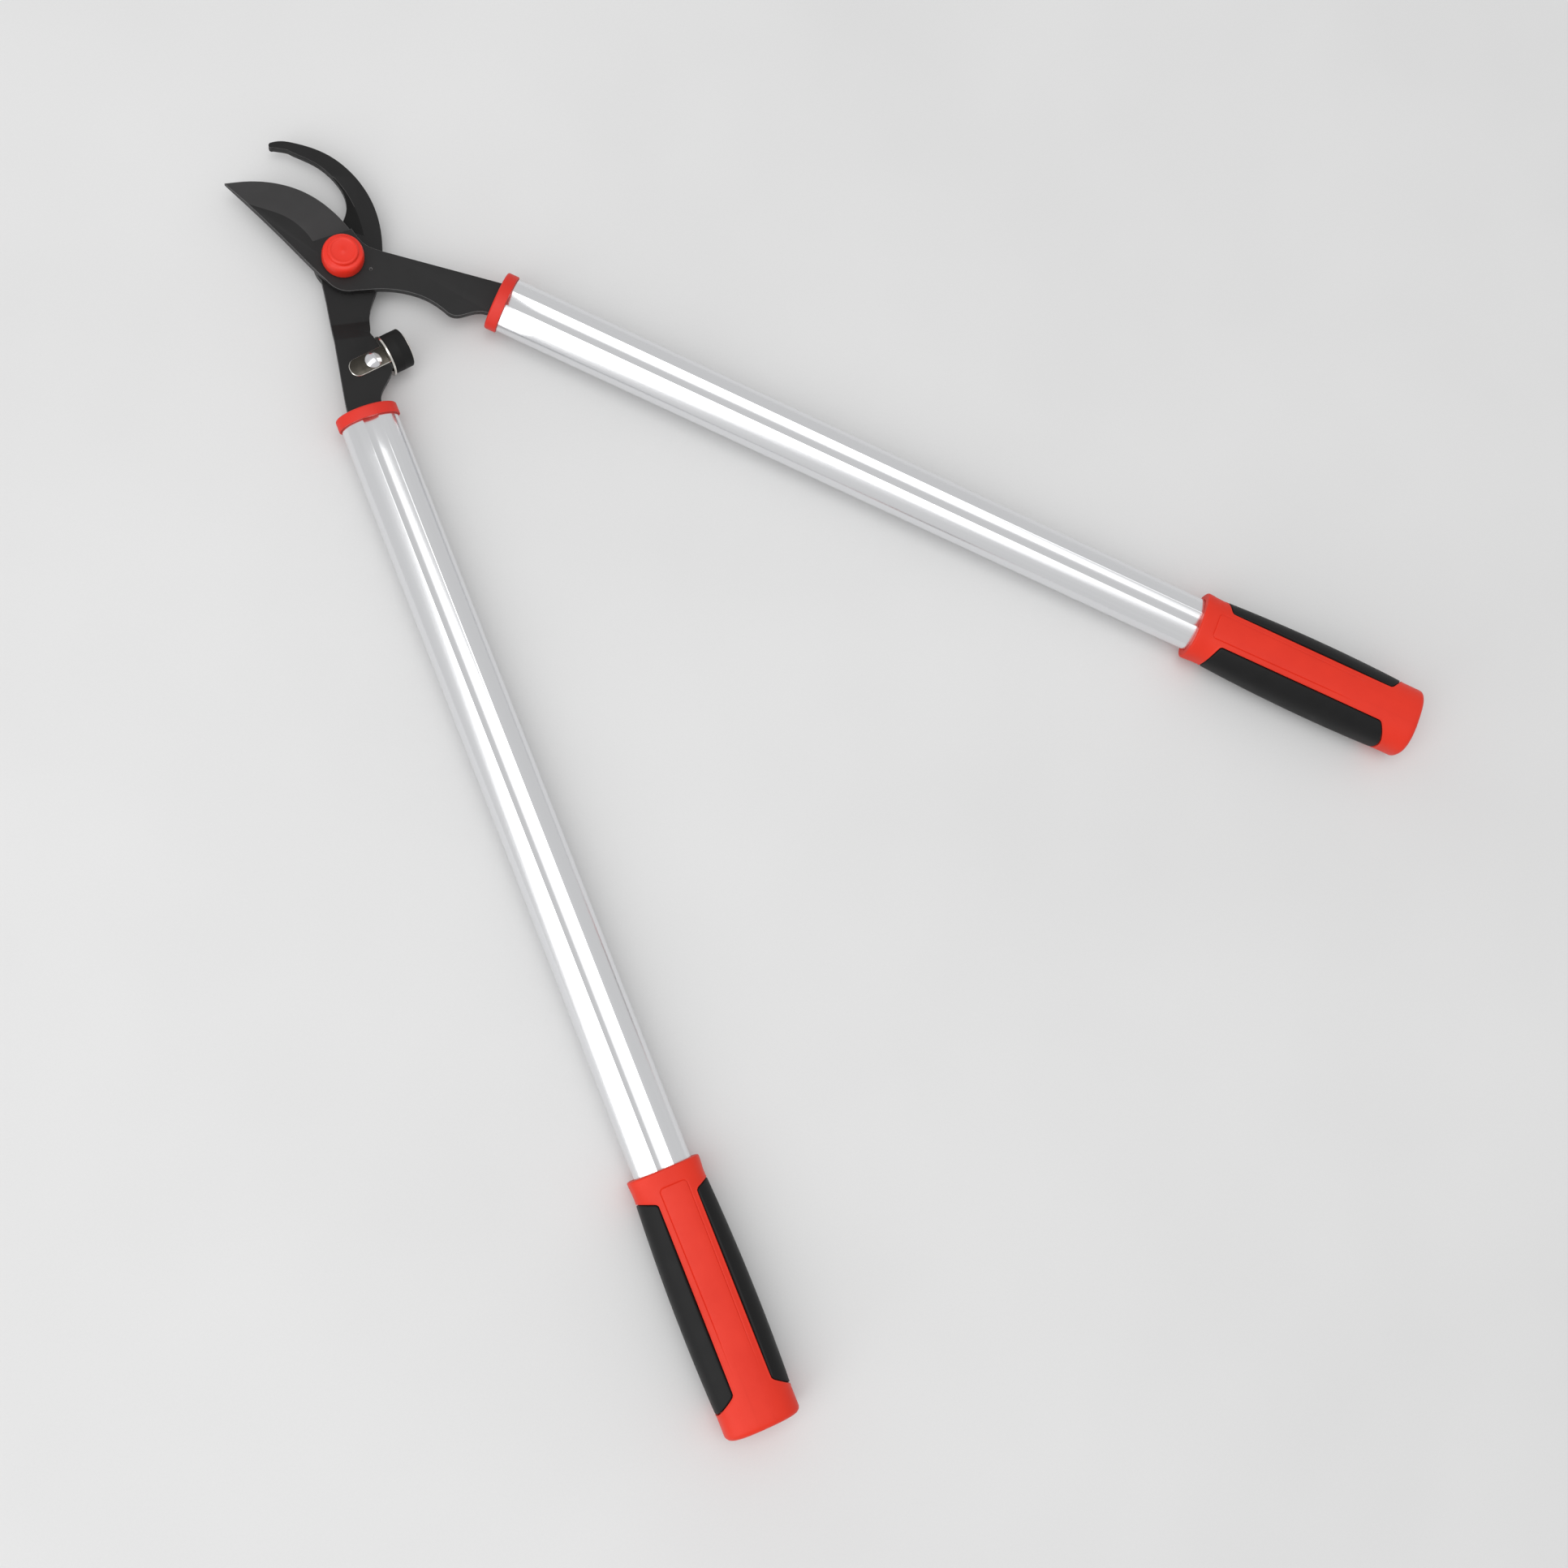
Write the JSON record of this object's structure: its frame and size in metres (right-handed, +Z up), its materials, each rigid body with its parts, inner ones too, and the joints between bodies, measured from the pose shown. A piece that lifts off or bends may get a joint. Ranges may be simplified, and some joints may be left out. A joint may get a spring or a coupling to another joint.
{
  "type": "bypass loppers",
  "caption": "Two-handed bypass loppers: a curved cutting blade passes a hooked counter blade, on oval tube handles with red and black grips and a rubber closing stop.",
  "frame": {"origin": "on the pivot axis, in the outer face of the pivot bolt's head, which the tool rests on", "axes": "+Z up along the pivot axis, from the hook plate to the blade; +Y out between the cutting tips; handles towards -Y; the hook's handle at -X and the blade's at +X"},
  "size_m": [0.5791, 0.6868, 0.0314],
  "materials": {
    "coated_hook_steel": "thin black non-stick coating, satin",
    "coated_blade_steel": "thin dark grey non-stick coating, satin, ground bevel under it",
    "plated_bracket": "bright nickel plating",
    "bright_rivet": "bright polished",
    "zinc_fastener": "zinc plated",
    "bush_bronze": "sintered bronze",
    "bumper_rubber": "matt black",
    "red_cap_plastic": "moulded red, satin gloss",
    "red_ferrule_plastic": "moulded red, satin",
    "red_grip_plastic": "moulded red, satin",
    "grip_pad_rubber": "soft matt black with a fine grain",
    "tube_aluminium": "satin anodised",
    "core_nylon": "black moulded nylon"
  },
  "bodies": {
    "hook_arm": {"counter_blade": "coated_hook_steel", "bumper_bracket": "plated_bracket", "bumper_rivet": "bright_rivet", "bumper_rubber": "bumper_rubber", "bumper_disc": "plated_bracket", "bumper_stud": "bright_rivet", "pivot_bolt": "zinc_fastener", "pivot_washer": "zinc_fastener", "pivot_bush": "bush_bronze", "top_washer": "zinc_fastener", "lock_ring": "zinc_fastener", "pivot_nut": "zinc_fastener", "pivot_cap": "red_cap_plastic", "ferrule_left": "red_ferrule_plastic", "tube_left": "tube_aluminium", "tang_insert_left": "core_nylon", "tang_pins_left": "zinc_fastener", "grip_shell_left": "red_grip_plastic", "outer_pad_left": "grip_pad_rubber", "inner_pad_left": "grip_pad_rubber"},
    "blade_arm": {"cutting_blade": "coated_blade_steel", "ferrule_right": "red_ferrule_plastic", "tube_right": "tube_aluminium", "tang_insert_right": "core_nylon", "tang_pins_right": "zinc_fastener", "grip_shell_right": "red_grip_plastic", "outer_pad_right": "grip_pad_rubber", "inner_pad_right": "grip_pad_rubber"}
  },
  "joints": [
    {"name": "pivot", "type": "hinge", "parent": "hook_arm", "child": "blade_arm", "pos_m": [0, 0, 0.0157], "axis": [0, 0, 1], "range_deg": [-27.8, 45]}
  ]
}
